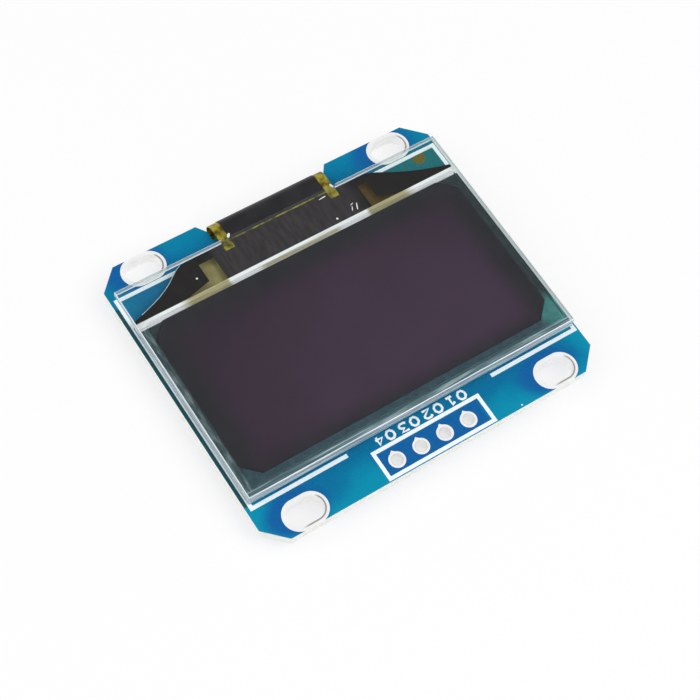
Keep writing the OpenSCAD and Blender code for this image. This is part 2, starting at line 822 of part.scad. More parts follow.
printed_circuit_board();
slot_plating();
header_plating();
front_ink();
panel_tape();
rear_glass();
drying_sheet();
seal();
pixel_layer();
front_glass();
polariser();
lead_film();
driver_chip();
bonding_film();
ledge_tape();
flex_film();
flex_cover();
flex_solder();
rear_pads();
solder_fillets();
large_capacitor_bodies();
large_capacitor_ends();
small_capacitor_bodies();
small_capacitor_ends();
resistor_bodies();
resistor_ends();
resistor_coats();
regulator_body();
regulator_leads();
diode_body();
diode_leads();
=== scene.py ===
"""The looks of a small OLED display module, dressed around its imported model."""

import json
import math
import random

import bmesh
import bpy
from mathutils import Matrix, Vector


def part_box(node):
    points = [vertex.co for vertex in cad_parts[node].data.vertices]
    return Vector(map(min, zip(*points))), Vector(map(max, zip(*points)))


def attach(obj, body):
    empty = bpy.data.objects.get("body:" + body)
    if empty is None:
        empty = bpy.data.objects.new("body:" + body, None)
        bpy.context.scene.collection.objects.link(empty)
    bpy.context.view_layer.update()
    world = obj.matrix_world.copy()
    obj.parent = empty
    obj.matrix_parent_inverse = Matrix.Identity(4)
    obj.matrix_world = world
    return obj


MM = 0.001

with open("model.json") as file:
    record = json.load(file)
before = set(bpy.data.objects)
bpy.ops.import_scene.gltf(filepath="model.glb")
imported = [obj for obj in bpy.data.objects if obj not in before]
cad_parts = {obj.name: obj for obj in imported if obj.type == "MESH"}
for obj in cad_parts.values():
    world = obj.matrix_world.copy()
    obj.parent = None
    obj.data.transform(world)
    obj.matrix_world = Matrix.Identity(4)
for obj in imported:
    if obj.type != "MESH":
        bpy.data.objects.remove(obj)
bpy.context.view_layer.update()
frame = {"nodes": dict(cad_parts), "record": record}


def box_mm(node):
    """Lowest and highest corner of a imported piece, in millimetres."""
    low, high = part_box(node)
    return low / MM, high / MM


def mount_mm(name):
    """A mount's position, in millimetres."""
    mount = next(m for m in frame["record"]["mounts"] if m["name"] == name)
    return Vector(mount["pos_m"]) / MM


BOARD_LOW, BOARD_HIGH = box_mm("printed_circuit_board")
GLASS_LOW, GLASS_HIGH = box_mm("front_glass")
REAR_LOW, REAR_HIGH = box_mm("rear_glass")
FILM_LOW, FILM_HIGH = box_mm("polariser")
PIXEL_LOW, PIXEL_HIGH = box_mm("pixel_layer")
LEADS_LOW, LEADS_HIGH = box_mm("lead_film")
FAN_START = -10.25  # X at which the left fan of leads begins
INK_LOW, INK_HIGH = box_mm("front_ink")
PINS = [mount_mm(f"header_hole_{i}") for i in (1, 2, 3, 4)]
SLOT_DIMS = next(m["dims"] for m in frame["record"]["mounts"] if m["name"] == "mounting_slots")
SLOT_X, SLOT_Y = SLOT_DIMS["spacing_x_mm"] / 2, SLOT_DIMS["spacing_y_mm"] / 2
SLOT_L, SLOT_W = SLOT_DIMS["slot_length_mm"], 2 * SLOT_DIMS["hole_r_mm"]
PIN_PITCH = PINS[1].x - PINS[0].x
FLEX_LOW, FLEX_HIGH = box_mm("bonding_film")
# The purple area, and how far its middle lies from the dark layer's middle
ACTIVE_W, ACTIVE_D, ACTIVE_OFFSET = 29.4, 14.7, 0.6


# Camera, floor and light

def make_camera():
    """The camera looks down on the header side from the left, turned a little about its own axis."""
    azimuth, elevation, roll = math.radians(-43.26), math.radians(61.76), math.radians(11.61)
    aim = Vector((-1.614, -2.658, BOARD_HIGH.z)) * MM
    distance = 154.34 * MM
    back = Vector((
        math.sin(azimuth) * math.cos(elevation),
        -math.cos(azimuth) * math.cos(elevation),
        math.sin(elevation),
    ))
    data = bpy.data.cameras.new("camera")
    data.lens = 88.75
    data.sensor_width = 36
    data.clip_start = 0.01
    data.clip_end = 20
    camera = bpy.data.objects.new("camera", data)
    turn = (-back).to_track_quat("-Z", "Y").to_matrix() @ Matrix.Rotation(roll, 3, "Z")
    camera.matrix_world = Matrix.Translation(aim + back * distance) @ turn.to_4x4()
    bpy.context.scene.collection.objects.link(camera)
    bpy.context.scene.camera = camera


def make_lamp(name, azimuth, elevation, distance, size, power):
    """A square soft lamp that looks at the object from a given direction."""
    a, e = math.radians(azimuth), math.radians(elevation)
    away = Vector((math.sin(a) * math.cos(e), -math.cos(a) * math.cos(e), math.sin(e)))
    data = bpy.data.lights.new(name, "AREA")
    data.size = size
    data.energy = power
    lamp = bpy.data.objects.new(name, data)
    turn = (-away).to_track_quat("-Z", "Y").to_matrix().to_4x4()
    lamp.matrix_world = Matrix.Translation(away * distance) @ turn
    bpy.context.scene.collection.objects.link(lamp)


def make_world():
    """An even studio that is palest towards the horizon."""
    world = bpy.data.worlds.new("studio")
    bpy.context.scene.world = world
    world.use_nodes = True
    tree = world.node_tree
    coords = tree.nodes.new("ShaderNodeTexCoord")
    split = tree.nodes.new("ShaderNodeSeparateXYZ")
    tree.links.new(coords.outputs["Generated"], split.inputs[0])
    ramp = tree.nodes.new("ShaderNodeValToRGB")
    ramp.color_ramp.elements[0].position = 0.1
    ramp.color_ramp.elements[0].color = (0.92, 0.93, 0.94, 1)
    ramp.color_ramp.elements[1].position = 0.6
    ramp.color_ramp.elements[1].color = (0.34, 0.34, 0.36, 1)
    tree.links.new(split.outputs["Z"], ramp.inputs[0])
    tree.links.new(ramp.outputs[0], tree.nodes["Background"].inputs["Color"])


# Materials

class Nodes:
    """Builds one material's nodes. Patterns are laid out in millimetres of the row frame."""

    def __init__(self, name):
        self.material = bpy.data.materials.new(name)
        self.material.use_nodes = True
        self.tree = self.material.node_tree
        self.tree.nodes.clear()
        self.mm = self.add("ShaderNodeVectorMath", operation="SCALE")
        self.tree.links.new(self.add("ShaderNodeTexCoord").outputs["Object"], self.mm.inputs[0])
        self.mm.inputs["Scale"].default_value = 1 / MM
        self.mm = self.mm.outputs[0]
        split = self.add("ShaderNodeSeparateXYZ")
        self.tree.links.new(self.mm, split.inputs[0])
        self.x, self.y, self.z = split.outputs

    def add(self, kind, **settings):
        node = self.tree.nodes.new(kind)
        for key, value in settings.items():
            setattr(node, key, value)
        return node

    def feed(self, socket, value):
        """Links a socket, or sets it where the value is a plain number or colour."""
        if isinstance(value, bpy.types.NodeSocket):
            self.tree.links.new(value, socket)
        elif isinstance(value, (tuple, list)) and len(value) == 3 and socket.type == "RGBA":
            socket.default_value = (*value, 1)
        else:
            socket.default_value = value

    def math(self, operation, a, b=0.0, c=0.0, clamp=False):
        node = self.add("ShaderNodeMath", operation=operation, use_clamp=clamp)
        for socket, value in zip(node.inputs, (a, b, c)):
            self.feed(socket, value)
        return node.outputs[0]

    def span(self, value, low, high, to_low=0.0, to_high=1.0):
        """Maps low..high to to_low..to_high smoothly, held at both ends."""
        node = self.add("ShaderNodeMapRange", interpolation_type="SMOOTHSTEP")
        for socket, part in zip(node.inputs, (value, low, high, to_low, to_high)):
            self.feed(socket, part)
        return node.outputs[0]

    def mix(self, share, a, b):
        node = self.add("ShaderNodeMix", data_type="RGBA")
        self.feed(node.inputs[0], share)
        self.feed(node.inputs[6], a)
        self.feed(node.inputs[7], b)
        return node.outputs[2]

    def stretch(self, x=1.0, y=1.0, z=1.0):
        """The millimetre coordinates with each axis scaled."""
        node = self.add("ShaderNodeVectorMath", operation="MULTIPLY")
        self.feed(node.inputs[0], self.mm)
        node.inputs[1].default_value = (x, y, z)
        return node.outputs[0]

    def noise(self, scale, detail=2.0, where=None):
        node = self.add("ShaderNodeTexNoise")
        self.feed(node.inputs["Vector"], where or self.mm)
        node.inputs["Scale"].default_value = scale
        node.inputs["Detail"].default_value = detail
        return node.outputs["Fac"]

    def ramp(self, value, stops):
        """A colour ramp through (position, colour) stops."""
        node = self.add("ShaderNodeValToRGB")
        elements = node.color_ramp.elements
        while len(elements) < len(stops):
            elements.new(0.5)
        for element, (position, colour) in zip(elements, stops):
            element.position = position
            element.color = (*colour, 1)
        self.feed(node.inputs[0], value)
        return node.outputs[0]

    def from_rectangle(self, low, high):
        """Distance past the nearest side of a rectangle in plan, negative inside it."""
        dx = self.math("ABSOLUTE", self.math("SUBTRACT", self.x, (low[0] + high[0]) / 2))
        dy = self.math("ABSOLUTE", self.math("SUBTRACT", self.y, (low[1] + high[1]) / 2))
        return self.math(
            "MAXIMUM",
            self.math("SUBTRACT", dx, (high[0] - low[0]) / 2),
            self.math("SUBTRACT", dy, (high[1] - low[1]) / 2),
        )

    def length(self, a, b):
        squares = self.math("ADD", self.math("MULTIPLY", a, a), self.math("MULTIPLY", b, b))
        return self.math("SQRT", squares)

    def from_spot(self, x, y, squash=1.0):
        """Distance from a point in plan, with Y counted more or less than X."""
        dx = self.math("SUBTRACT", self.x, x)
        dy = self.math("MULTIPLY", self.math("SUBTRACT", self.y, y), squash)
        return self.length(dx, dy)

    def normal(self):
        """X, Y and Z of the outward normal, also where the face is seen from inside."""
        geometry = self.add("ShaderNodeNewGeometry")
        outward = self.add("ShaderNodeVectorMath", operation="SCALE")
        self.feed(outward.inputs[0], geometry.outputs["True Normal"])
        facing = self.math("MULTIPLY_ADD", geometry.outputs["Backfacing"], -2.0, 1.0)
        self.feed(outward.inputs["Scale"], facing)
        split = self.add("ShaderNodeSeparateXYZ")
        self.feed(split.inputs[0], outward.outputs[0])
        return split.outputs

    def level(self):
        """1 on faces that lie level, 0 on sides and slopes."""
        return self.math("GREATER_THAN", self.math("ABSOLUTE", self.normal()[2]), 0.95)

    def bump(self, height, depth_mm, strength=1.0):
        node = self.add("ShaderNodeBump")
        node.inputs["Strength"].default_value = strength
        node.inputs["Distance"].default_value = depth_mm * MM
        self.feed(node.inputs["Height"], height)
        return node.outputs[0]

    def principled(self, **inputs):
        """A Principled shader; underscores in the names of its inputs stand for spaces."""
        node = self.add("ShaderNodeBsdfPrincipled")
        for key, value in inputs.items():
            self.feed(node.inputs[key.replace("_", " ")], value)
        return node.outputs[0]

    def clear(self, tint):
        node = self.add("ShaderNodeBsdfTransparent")
        self.feed(node.inputs[0], tint)
        return node.outputs[0]

    def gloss(self, roughness):
        node = self.add("ShaderNodeBsdfGlossy")
        node.inputs["Roughness"].default_value = roughness
        return node.outputs[0]

    def blend(self, share, a, b):
        """Mixes two shaders."""
        node = self.add("ShaderNodeMixShader")
        self.feed(node.inputs[0], share)
        self.tree.links.new(a, node.inputs[1])
        self.tree.links.new(b, node.inputs[2])
        return node.outputs[0]

    def mirror_share(self, ior=1.5):
        """What a clear surface mirrors, on its outer side alone."""
        fresnel = self.add("ShaderNodeFresnel")
        fresnel.inputs["IOR"].default_value = ior
        back = self.add("ShaderNodeNewGeometry").outputs["Backfacing"]
        return self.math("MULTIPLY", fresnel.outputs[0], self.math("SUBTRACT", 1.0, back))

    def finish(self, shader):
        output = self.add("ShaderNodeOutputMaterial")
        self.tree.links.new(shader, output.inputs[0])
        return self.material


def solder_mask():
    """Blue mask on both faces, teal at the edges and deep where copper is kept away, over pale laminate."""
    n = Nodes("solder_mask")
    teal, blue, deep = (0.000, 0.285, 0.430), (0.000, 0.160, 0.325), (0.004, 0.115, 0.345)
    green = (0.012, 0.170, 0.160)
    cloud = n.noise(0.22, 2.0)
    inside = n.math("MULTIPLY", n.from_rectangle(BOARD_LOW, BOARD_HIGH), -1.0)
    rim = n.span(n.math("ADD", inside, n.span(cloud, 0.3, 0.7, -0.9, 0.9)), 0.2, 3.2, 1.0, 0.0)
    rim = n.math("MULTIPLY", rim, n.span(n.y, -8.0, 8.0, 0.85, 0.4))
    colour = n.mix(rim, blue, teal)
    kept = n.span(n.from_rectangle(
        (PINS[0].x - 1.4, INK_LOW.y + 0.2), (PINS[-1].x + 1.6, PINS[0].y + 1.2)), -0.2, 0.5, 1.0, 0.0)
    for sx in (-1, 1):
        for sy in (-1, 1):
            away = n.from_spot(sx * SLOT_X - 0.6, sy * SLOT_Y + 0.35, 1.5)
            kept = n.math("MAXIMUM", kept, n.span(away, 2.2, 3.9, 1.0, 0.0))
    colour = n.mix(kept, colour, deep)
    far_right = n.from_rectangle((11.5, GLASS_HIGH.y - 3.5), (18.0, GLASS_HIGH.y - 0.2))
    far_right = n.span(far_right, -0.3, 1.4, 0.85, 0.0)
    colour = n.mix(far_right, colour, green)
    # Painted shade: a dark strip on the mask between the board's left edge and the ink line, under the
    # glass.
    left_painted_shade = n.span(n.from_rectangle(
        (BOARD_LOW.x - 1, GLASS_LOW.y), (INK_LOW.x, GLASS_HIGH.y - 1)), -0.05, 0.15, 0.85, 0.0)
    colour = n.mix(left_painted_shade, colour, (0.016, 0.060, 0.060))
    grain = n.noise(3.0, 3.0)
    face = n.principled(
        Base_Color=colour, Roughness=n.span(grain, 0.3, 0.7, 0.22, 0.32), Specular_IOR_Level=0.18,
        Normal=n.bump(grain, 0.006, 0.5),
    )
    weave = n.noise(1.0, 2.0, n.stretch(2.0, 2.0, 14.0))
    cut = n.principled(
        Base_Color=n.ramp(weave, [(0.35, (0.78, 0.78, 0.70)), (0.6, (0.93, 0.94, 0.90))]),
        Roughness=0.65, Normal=n.bump(weave, 0.02, 0.6),
    )
    return n.finish(n.blend(n.level(), cut, face))


def lip_shade(n):
    """1 in the thin line of painted shade at the right and near side of each slot's and header hole's mouth.
    """
    dx = n.math("SUBTRACT", n.math("ABSOLUTE", n.x), SLOT_X)
    dx = n.math("MULTIPLY", dx, n.math("SIGN", n.x))
    dy = n.math("SUBTRACT", n.math("ABSOLUTE", n.y), SLOT_Y)
    dy = n.math("MULTIPLY", dy, n.math("SIGN", n.y))
    past = n.math("MAXIMUM", n.math("SUBTRACT", n.math("ABSOLUTE", dx), (SLOT_L - SLOT_W) / 2), 0.0)
    away = n.math("SUBTRACT", n.length(past, dy), SLOT_W / 2)
    turned = n.math("SUBTRACT", n.math("MULTIPLY", dx, 0.8), n.math("MULTIPLY", dy, 0.9))
    slot = n.math("MULTIPLY", n.span(away, 0.10, 0.20, 1.0, 0.0), n.span(turned, 0.2, 0.9))
    px = n.math("PINGPONG", n.math("SUBTRACT", n.x, PINS[0].x), PIN_PITCH / 2)
    hole = n.span(n.length(px, n.math("SUBTRACT", n.y, PINS[0].y)), 0.54, 0.6, 0.5, 0.0)
    from_middle = n.math("ABSOLUTE", n.math("SUBTRACT", n.x, (PINS[0].x + PINS[-1].x) / 2))
    at_row = n.math("LESS_THAN", from_middle, 6.0)
    return n.math("MULTIPLY", n.math("MAXIMUM", slot, n.math("MULTIPLY", hole, at_row)), n.level())


def tin():
    """Bright tinned metal, a little uneven, with a thin line of painted shade at the mouths of the holes."""
    n = Nodes("tin")
    cloud, grain = n.noise(1.3, 2.0), n.noise(9.0, 2.0)
    bright = n.ramp(cloud, [(0.3, (0.92, 0.92, 0.90)), (0.65, (0.98, 0.98, 0.97))])
    # Painted shade: the lip line turns the tin brown-black.
    colour = n.mix(n.math("MULTIPLY", lip_shade(n), 0.75), bright, (0.16, 0.13, 0.12))
    wall = n.math("SUBTRACT", 1.0, n.level())
    return n.finish(n.principled(
        Base_Color=colour, Metallic=n.math("MULTIPLY_ADD", wall, 0.8, 0.15),
        Roughness=n.span(grain, 0.3, 0.7, 0.3, 0.42), Normal=n.bump(cloud, 0.03, 0.5),
    ))


def white_ink():
    n = Nodes("white_ink")
    grain = n.noise(7.0, 3.0)
    return n.finish(n.principled(
        Base_Color=n.ramp(grain, [(0.3, (0.82, 0.92, 0.94)), (0.55, (0.92, 0.98, 0.98))]),
        Roughness=0.5, Normal=n.bump(grain, 0.01, 0.5),
    ))


def black_tape():
    n = Nodes("black_tape")
    cells = n.noise(12.0, 3.0)
    return n.finish(n.principled(
        Base_Color=n.ramp(cells, [(0.3, (0.008, 0.008, 0.009)), (0.7, (0.03, 0.03, 0.032))]),
        Roughness=0.85, Normal=n.bump(cells, 0.03),
    ))


def clear_glass(name, low, high):
    """Clear faces; ground edges painted pale as highlight lines; cut sides painted with light and shade:
    streaks of reflected light on the sides facing near and left, light at the foot and shade at the top on
    the right side, and a bright far side painted clearer where the dark connector lies behind it.
    """
    n = Nodes(name)
    pane = n.blend(n.mirror_share(), n.clear((0.965, 0.985, 0.98)), n.gloss(0.03))
    nx, ny, nz = n.normal()
    # Sides facing near and left take the lit copy; the far and right sides take darker and clearer copies:
    # painted light and shade by side.
    lit = n.math("MAXIMUM", n.math("MULTIPLY", nx, -1.0), n.math("MULTIPLY", ny, -1.0))
    lit = n.math("GREATER_THAN", lit, 0.3)
    # The streaks stand for scribe marks on the cut sides and for painted streaks of reflected light.
    streaks = n.noise(1.0, 4.0, n.stretch(0.16, 0.16, 16.0))
    # Painted reflections: pale streaks of light on the near and left sides.
    pale = n.ramp(streaks, [
        (0.36, (0.08, 0.16, 0.19)), (0.46, (0.22, 0.34, 0.39)), (0.54, (0.50, 0.63, 0.69)),
        (0.64, (0.90, 0.96, 0.98)),
    ])
    near_side = n.principled(Base_Color=pale, Roughness=0.35, Normal=n.bump(streaks, 0.02))
    # Painted light and shade: the right side is light at its foot and dark at its top.
    height = n.span(n.z, low.z, high.z)
    painted_side_shading = n.ramp(height, [
        (0.2, (0.85, 0.92, 0.92)), (0.55, (0.45, 0.55, 0.56)), (0.9, (0.06, 0.09, 0.09))])
    right_side = n.blend(0.4, n.principled(Base_Color=painted_side_shading, Roughness=0.3), n.clear((0.82, 0.92, 0.92)))
    # Over the connector the far side and the ground edges are painted clearer: a painted reflection of the
    # dark film behind them.
    over_flex = n.math("MULTIPLY", n.math("LESS_THAN", n.math("ABSOLUTE", n.x), FLEX_HIGH.x), 0.5)
    # Frosted far side, painted nearly white as a highlight.
    frost_and_highlight = n.ramp(streaks, [(0.35, (0.55, 0.68, 0.72)), (0.6, (0.97, 0.99, 0.99))])
    far_side = n.blend(
        n.math("ADD", over_flex, 0.45), n.principled(Base_Color=frost_and_highlight, Roughness=0.35),
        n.clear((0.9, 0.95, 0.95)))
    far_side = n.blend(n.math("GREATER_THAN", nx, 0.3), far_side, right_side)
    side = n.blend(lit, far_side, n.blend(0.12, near_side, n.clear((0.75, 0.9, 0.9))))
    # Painted highlight: the ground edges are painted pale as lines of light, and are hidden over the
    # connector.
    ground = n.principled(Base_Color=n.ramp(streaks, [
        (0.35, (0.60, 0.70, 0.72)), (0.6, (0.97, 0.99, 0.99))]), Roughness=0.4)
    hidden = n.math("MULTIPLY", over_flex, n.math("MULTIPLY", n.math("GREATER_THAN", ny, 0.3), 1.7))
    ground = n.blend(n.math("ADD", hidden, 0.12), ground, n.clear((0.9, 0.95, 0.95)))
    slope = n.math("GREATER_THAN", n.math("ABSOLUTE", nz), 0.3)
    return n.finish(n.blend(n.level(), n.blend(slope, side, ground), pane))


def seal_resin():
    """Dark teal round the screen, pale and streaked near the header, silvery with painted streaky highlights
    and tan along the ledge.
    """
    n = Nodes("seal_resin")
    grain = n.noise(1.0, 3.0, n.stretch(0.25, 7.0, 1.0))
    fleck = n.noise(2.2, 3.0)
    teal = n.ramp(fleck, [(0.35, (0.030, 0.085, 0.105)), (0.65, (0.050, 0.125, 0.150))])
    dark = n.ramp(fleck, [(0.35, (0.016, 0.030, 0.032)), (0.65, (0.030, 0.055, 0.056))])
    bright = n.ramp(fleck, [(0.35, (0.060, 0.300, 0.280)), (0.65, (0.090, 0.400, 0.370))])
    left = n.ramp(n.noise(1.0, 3.0, n.stretch(4.0, 0.8, 1.0)), [
        (0.35, (0.040, 0.080, 0.088)), (0.5, (0.09, 0.145, 0.155)), (0.68, (0.27, 0.34, 0.35))])
    near = n.ramp(grain, [(0.36, (0.08, 0.15, 0.17)), (0.5, (0.17, 0.28, 0.31)), (0.64, (0.58, 0.70, 0.74))])
    # Silvery resin, its brightest streaks painted highlights.
    silver_and_highlights = n.ramp(grain, [
        (0.32, (0.72, 0.70, 0.66)), (0.42, (0.93, 0.93, 0.91)), (0.55, (0.99, 0.99, 0.99))])
    tan = n.ramp(grain, [(0.35, (0.36, 0.31, 0.16)), (0.65, (0.56, 0.49, 0.27))])
    colour = n.mix(n.span(n.y, FILM_LOW.y + 1.2, FILM_LOW.y + 3.2), teal, dark)
    corner = n.span(n.from_spot(PIXEL_HIGH.x, PIXEL_LOW.y + 0.2, 0.8), 0.8, 1.9, 0.9, 0.0)
    colour = n.mix(corner, colour, bright)
    colour = n.mix(n.span(n.x, FILM_LOW.x + 0.10, FILM_LOW.x + 0.22, 1.0, 0.0), colour, left)
    colour = n.mix(n.span(n.y, FILM_LOW.y + 0.02, FILM_LOW.y + 0.12, 1.0, 0.0), colour, near)
    low_half = n.span(n.y, REAR_HIGH.y - 0.45, REAR_HIGH.y - 0.25, 1.0, 0.0)
    ledge = n.span(n.y, FILM_HIGH.y - 0.12, FILM_HIGH.y - 0.04)
    along = n.math("ABSOLUTE", n.x)
    outer = n.math("MULTIPLY", n.span(along, 7.3, 7.7), n.span(along, 11.4, 12.8, 1.0, 0.0))
    middle = n.math("MULTIPLY", n.span(along, 3.6, 4.8, 1.0, 0.0), low_half)
    middle = n.math("MULTIPLY", middle, 0.8)
    colour = n.mix(ledge, colour, n.mix(n.math("MAXIMUM", outer, middle), silver_and_highlights, tan))
    return n.finish(n.principled(Base_Color=colour, Roughness=0.4, Normal=n.bump(grain, 0.01)))


def drying_sheet():
    n = Nodes("drying_sheet")
    grain = n.noise(5.0, 3.0)
    return n.finish(n.principled(
        Base_Color=n.ramp(grain, [(0.3, (0.62, 0.62, 0.58)), (0.7, (0.78, 0.78, 0.74))]), Roughness=0.9,
    ))


def dark_screen():
    """Purple-black pixels with a soft grey border round them."""
    n = Nodes("dark_screen")
    middle = (PIXEL_LOW.y + PIXEL_HIGH.y) / 2 - ACTIVE_OFFSET
    past = n.from_rectangle(
        (-ACTIVE_W / 2, middle - ACTIVE_D / 2), (ACTIVE_W / 2, middle + ACTIVE_D / 2))
    cloud = n.noise(0.12, 2.0)
    purple = n.ramp(cloud, [(0.35, (0.062, 0.025, 0.058)), (0.65, (0.074, 0.032, 0.072))])
    purple = n.mix(n.span(n.from_spot(3.0, -4.0, 1.6), 8.0, 22.0), purple, (0.034, 0.011, 0.030))
    border = n.ramp(n.noise(0.5, 2.0), [(0.3, (0.011, 0.011, 0.017)), (0.7, (0.020, 0.018, 0.024))])
    colour = n.mix(n.span(past, -1.3, 1.0), purple, border)
    return n.finish(n.principled(Base_Color=colour, Roughness=0.35))


def polariser_film():
    """A clear, slightly grey film. Its cut sides are dark, but clear at the ledge."""
    n = Nodes("polariser_film")
    pane = n.blend(n.mirror_share(), n.clear((0.88, 0.88, 0.89)), n.gloss(0.05))
    side = n.principled(Base_Color=n.ramp(n.noise(4.0), [
        (0.3, (0.03, 0.06, 0.065)), (0.7, (0.09, 0.14, 0.145))]), Roughness=0.4)
    at_ledge = n.math("GREATER_THAN", n.normal()[1], 0.3)
    side = n.blend(at_ledge, side, n.clear((0.97, 0.97, 0.97)))
    return n.finish(n.blend(n.level(), side, pane))


def dark_leads():
    """Thin dark metal, browner under the connector, with the faint lines of the leads."""
    n = Nodes("dark_leads")
    lines = n.noise(1.0, 2.0, n.stretch(3.0, 0.6, 1.0))
    fan = n.ramp(lines, [(0.35, (0.007, 0.005, 0.004)), (0.65, (0.013, 0.010, 0.008))])
    middle = n.ramp(lines, [(0.35, (0.028, 0.023, 0.024)), (0.65, (0.046, 0.038, 0.040))])
    within = n.span(n.math("ABSOLUTE", n.x), 6.6, 8.2, 1.0, 0.0)
    return n.finish(n.principled(
        Base_Color=n.mix(within, fan, middle), Roughness=0.5, Specular_IOR_Level=0.2,
    ))


def silicon():
    n = Nodes("silicon")
    grain = n.noise(20.0, 2.0)
    return n.finish(n.principled(
        Base_Color=n.ramp(grain, [(0.3, (0.06, 0.06, 0.07)), (0.7, (0.13, 0.13, 0.14))]),
        Roughness=0.45, Normal=n.bump(grain, 0.004),
    ))


def amber_film():
    """Yellow-brown polyimide, glossy and cloudy."""
    n = Nodes("amber_film")
    cloud = n.noise(1.6, 2.0)
    return n.finish(n.principled(
        Base_Color=n.ramp(cloud, [(0.36, (0.07, 0.05, 0.003)), (0.64, (0.38, 0.31, 0.02))]),
        Roughness=0.3, Normal=n.bump(cloud, 0.02),
    ))


def amber_tape():
    n = Nodes("amber_tape")
    cloud = n.noise(0.8, 2.0)
    side = n.span(n.x, -4.0, 4.0)
    left = n.ramp(cloud, [(0.3, (0.26, 0.21, 0.075)), (0.7, (0.38, 0.32, 0.12))])
    right = n.ramp(cloud, [(0.3, (0.10, 0.055, 0.008)), (0.7, (0.18, 0.11, 0.025))])
    return n.finish(n.principled(
        Base_Color=n.mix(side, left, right), Roughness=0.4, Normal=n.bump(cloud, 0.02),
    ))


def black_cover():
    """A satin black cover layer, with copper tracks just showing through as low ridges."""
    n = Nodes("black_cover")
    cloud = n.noise(0.5, 2.0)
    tracks = n.math("SINE", n.math("MULTIPLY", n.x, 2 * math.pi / 0.65))
    return n.finish(n.principled(
        Base_Color=n.ramp(cloud, [(0.3, (0.010, 0.009, 0.011)), (0.7, (0.020, 0.018, 0.020))]),
        Roughness=0.45, Specular_IOR_Level=0.35, Normal=n.bump(tracks, 0.004, 0.6),
    ))


def tan_ceramic():
    n = Nodes("tan_ceramic")
    grain = n.noise(9.0, 3.0)
    return n.finish(n.principled(
        Base_Color=n.ramp(grain, [(0.3, (0.33, 0.21, 0.11)), (0.7, (0.48, 0.33, 0.19))]),
        Roughness=0.45, Normal=n.bump(grain, 0.01),
    ))


def alumina():
    n = Nodes("alumina")
    grain = n.noise(12.0, 2.0)
    return n.finish(n.principled(
        Base_Color=n.ramp(grain, [(0.3, (0.72, 0.71, 0.68)), (0.7, (0.85, 0.85, 0.82))]), Roughness=0.6,
    ))


def dark_glaze():
    n = Nodes("dark_glaze")
    grain = n.noise(6.0, 2.0)
    return n.finish(n.principled(
        Base_Color=n.ramp(grain, [(0.3, (0.012, 0.012, 0.013)), (0.7, (0.03, 0.03, 0.032))]), Roughness=0.25,
    ))


def moulded_epoxy():
    n = Nodes("moulded_epoxy")
    grain = n.noise(25.0, 2.0)
    return n.finish(n.principled(
        Base_Color=n.ramp(grain, [(0.3, (0.018, 0.018, 0.019)), (0.7, (0.035, 0.035, 0.037))]),
        Roughness=0.6, Normal=n.bump(grain, 0.008),
    ))


MAKERS = {
    "solder_mask": solder_mask, "tin": tin, "white_ink": white_ink, "black_tape": black_tape,
    "clear_glass": lambda: clear_glass("clear_glass", REAR_LOW, REAR_HIGH), "seal_resin": seal_resin,
    "drying_sheet": drying_sheet,
    "dark_screen": dark_screen, "polariser_film": polariser_film, "dark_leads": dark_leads,
    "silicon": silicon, "amber_film": amber_film, "amber_tape": amber_tape, "black_cover": black_cover,
    "tan_ceramic": tan_ceramic, "alumina": alumina, "dark_glaze": dark_glaze,
    "moulded_epoxy": moulded_epoxy,
}


def dress_nodes():
    """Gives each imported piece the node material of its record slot. Returns the materials by slot."""
    materials = {slot: make() for slot, make in MAKERS.items()}
    for part in frame["record"]["subparts"]:
        shown = frame["nodes"][part["node"]]
        shown.data.materials.clear()
        shown.data.materials.append(materials[part["material_slot"]])
    frame["nodes"]["front_glass"].data.materials[0] = clear_glass("front_glass", GLASS_LOW, GLASS_HIGH)
    return materials


# Pieces that only the scene has

def add_piece(name, mesh, material):
    """Links a mesh as a piece that rides with the part, in one of the record's slots if it has one."""
    piece = bpy.data.objects.new(name, mesh)
    bpy.context.scene.collection.objects.link(piece)
    mesh.materials.clear()
    mesh.materials.append(material)
    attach(piece, "root")
    return piece


def beads(name, paths, radius, kind="NURBS"):
    """The mesh of thin round beads along paths, in millimetres."""
    curve = bpy.data.curves.new(name, "CURVE")
    curve.dimensions = "3D"
    curve.bevel_depth = radius * MM
    curve.bevel_resolution = 2
    curve.use_fill_caps = True
    for path in paths:
        spline = curve.splines.new(kind)
        spline.points.add(len(path) - 1)
        for place, point in zip(spline.points, path):
            place.co = (*(Vector(point) * MM), 1)
        spline.use_endpoint_u = True
    holder = bpy.data.objects.new(name, curve)
    bpy.context.scene.collection.objects.link(holder)
    bpy.context.view_layer.update()
    graph = bpy.context.evaluated_depsgraph_get()
    mesh = bpy.data.meshes.new_from_object(holder.evaluated_get(graph))
    bpy.data.objects.remove(holder)
    return mesh


# From the hole row to the frame's far edge, from there to the numbers, and the numbers' shift in X
FRAME_REACH, NUMBER_GAP, NUMBER_SHIFT = 1.7, 0.08, 0.25

# Strokes of the digits on a cell one high, as lists of points
DIGIT_W = 0.72
DIGITS = {
    "0": [[(0, 0.3), (0, 0.7), (0.2, 1), (0.52, 1), (0.72, 0.7),
           (0.72, 0.3), (0.52, 0), (0.2, 0), (0, 0.3)]],
    "1": [[(0.1, 0.78), (0.4, 1), (0.4, 0)], [(0.1, 0), (0.7, 0)]],
    "2": [[(0, 0.8), (0.18, 1), (0.54, 1), (0.72, 0.82), (0.72, 0.62), (0, 0), (0.72, 0)]],
    "3": [[(0, 1), (0.7, 1), (0.32, 0.62), (0.56, 0.56), (0.72, 0.4),
           (0.72, 0.18), (0.54, 0), (0.16, 0), (0, 0.14)]],
    "4": [[(0.52, 0), (0.52, 1), (0, 0.32), (0.72, 0.32)]],
}


